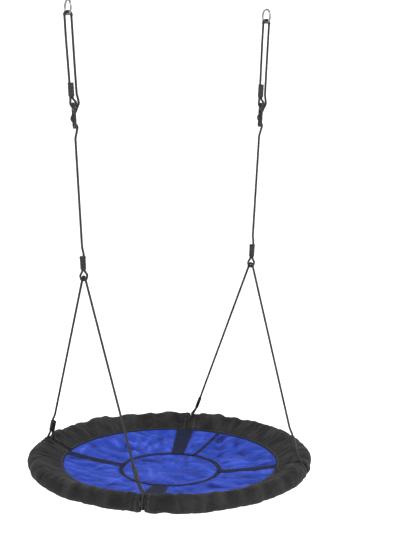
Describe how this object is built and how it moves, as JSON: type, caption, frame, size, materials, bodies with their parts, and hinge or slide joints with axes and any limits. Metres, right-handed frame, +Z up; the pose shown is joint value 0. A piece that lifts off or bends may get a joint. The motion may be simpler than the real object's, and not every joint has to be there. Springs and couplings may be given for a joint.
{
  "type": "nest swing",
  "caption": "Round nest swing: padded black ring and blue cloth mat, hung by forked ropes from two steel rings, with laced height adjusters.",
  "frame": {"origin": "midway between the centres of the two hook rings, on the line that the swing hangs and swings about", "axes": "+Z up, +X along the hang line to the right-hand hanger, +Y to the back"},
  "size_m": [0.9996, 0.9994, 1.642],
  "materials": {
    "bright_zinc_steel": "bright zinc plate, slightly dulled",
    "powder_coated_steel": "grey powder coat",
    "black_polypropylene_rope": "braided, matt",
    "black_pressed_ferrule": "moulded black jacket over a pressed ferrule, satin",
    "black_nylon_sleeve": "satin nylon",
    "black_nylon_plate": "moulded, fine grain",
    "charcoal_foam": "closed-cell foam",
    "black_oxford_cloth": "coated plain weave, matt and creased",
    "blue_oxford_cloth": "coated plain weave, light sheen, creased",
    "navy_webbing": "woven tape, stitched down",
    "black_touch_fastener": "hook-and-loop pile"
  },
  "bodies": {
    "hook_rings": {"hook_ring_left": "bright_zinc_steel", "hook_ring_right": "bright_zinc_steel"},
    "rope_tops": {"hook_sleeve_left": "black_nylon_sleeve", "hook_sleeve_right": "black_nylon_sleeve"},
    "left_hanger": {"hanger_rope_left": "black_polypropylene_rope", "height_adjuster_left": "black_nylon_plate", "top_ferrule_left": "black_pressed_ferrule", "foot_ferrule_left": "black_pressed_ferrule"},
    "right_hanger": {"hanger_rope_right": "black_polypropylene_rope", "height_adjuster_right": "black_nylon_plate", "top_ferrule_right": "black_pressed_ferrule", "foot_ferrule_right": "black_pressed_ferrule", "eye_sleeve_right": "black_nylon_sleeve"},
    "left_eye": {"eye_sleeve_left": "black_nylon_sleeve"},
    "seat": {"leg_rope_left": "black_polypropylene_rope", "leg_rope_right": "black_polypropylene_rope", "leg_ferrule_front_left": "black_pressed_ferrule", "leg_ferrule_front_right": "black_pressed_ferrule", "leg_ferrule_back_left": "black_pressed_ferrule", "leg_ferrule_back_right": "black_pressed_ferrule", "ring_tube_back_right": "powder_coated_steel", "ring_tube_back_left": "powder_coated_steel", "ring_tube_front_left": "powder_coated_steel", "ring_tube_front_right": "powder_coated_steel", "ring_joiner_right": "powder_coated_steel", "ring_joiner_back": "powder_coated_steel", "ring_joiner_left": "powder_coated_steel", "ring_joiner_front": "powder_coated_steel", "ring_screw_right_a": "bright_zinc_steel", "ring_screw_right_b": "bright_zinc_steel", "ring_screw_back_a": "bright_zinc_steel", "ring_screw_back_b": "bright_zinc_steel", "ring_screw_left_a": "bright_zinc_steel", "ring_screw_left_b": "bright_zinc_steel", "ring_screw_front_a": "bright_zinc_steel", "ring_screw_front_b": "bright_zinc_steel", "foam_right": "charcoal_foam", "foam_back": "charcoal_foam", "foam_left": "charcoal_foam", "foam_front": "charcoal_foam", "cover_right": "black_oxford_cloth", "cover_back": "black_oxford_cloth", "cover_left": "black_oxford_cloth", "cover_front": "black_oxford_cloth", "closure_tape_right": "black_touch_fastener", "closure_tape_back": "black_touch_fastener", "closure_tape_left": "black_touch_fastener", "closure_tape_front": "black_touch_fastener", "mat": "blue_oxford_cloth", "webbing_circle": "navy_webbing", "webbing_left": "navy_webbing", "webbing_back_broad": "navy_webbing", "webbing_back_right": "navy_webbing", "webbing_right": "navy_webbing", "webbing_front_broad": "navy_webbing"}
  },
  "joints": [
    {"name": "swing", "type": "hinge", "parent": "hook_rings", "child": "rope_tops", "pos_m": [0, 0, 0], "axis": [1, 0, 0], "range_deg": [-45, 45]},
    {"name": "sideways_sway", "type": "hinge", "parent": "rope_tops", "child": "left_hanger", "pos_m": [-0.38, 0, -0.0258], "axis": [0, 1, 0], "range_deg": [-12, 12]},
    {"name": "right_hanger_sway", "type": "hinge", "parent": "rope_tops", "child": "right_hanger", "pos_m": [0.38, 0, -0.0258], "axis": [0, 1, 0], "range_deg": [-12, 12]},
    {"name": "left_eye_turn", "type": "hinge", "parent": "left_hanger", "child": "left_eye", "pos_m": [-0.33172, 0, -0.87722], "axis": [0, 1, 0], "range_deg": [-14, 14]},
    {"name": "seat_pitch", "type": "hinge", "parent": "left_eye", "child": "seat", "pos_m": [-0.331, 0, -0.89], "axis": [1, 0, 0], "range_deg": [-25, 25]}
  ],
  "couplings": [
    {"joint": "right_hanger_sway", "follows": "sideways_sway", "ratio": 1},
    {"joint": "left_eye_turn", "follows": "sideways_sway", "ratio": -1.1455}
  ]
}
